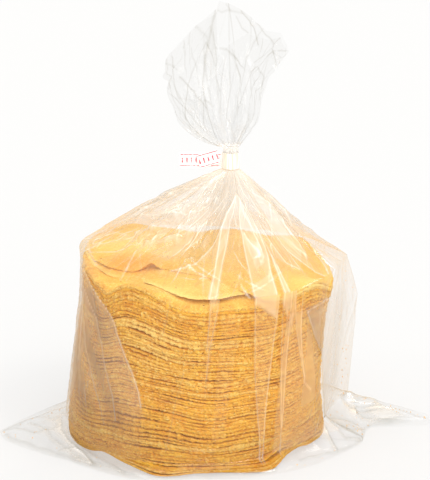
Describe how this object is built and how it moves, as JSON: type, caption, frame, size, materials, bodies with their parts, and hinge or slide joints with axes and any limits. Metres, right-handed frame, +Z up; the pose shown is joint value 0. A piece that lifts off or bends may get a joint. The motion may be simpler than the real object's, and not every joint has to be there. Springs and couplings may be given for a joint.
{
  "type": "bagged stack of corn tortillas",
  "caption": "Leaning stack of round yellow corn tortillas in a clear film bag, gathered to a neck and closed with tape, with a flared mouth and flat bottom corners.",
  "frame": {"origin": "centre of the stack's foot, on the surface that the bag stands on", "axes": "+Z up; the pictured front faces -Y; the bag's two bottom corners point along -X and +X"},
  "size_m": [0.2538, 0.1629, 0.2492],
  "materials": {
    "film": "clear glossy polythene film over yellow tortillas",
    "tortilla": "dry matte yellow corn flatbread",
    "tape": "white sealing tape with red marks"
  },
  "bodies": {
    "root": {"bag": "film", "tape_band": "tape", "tape_end": "tape"}
  },
  "joints": []
}
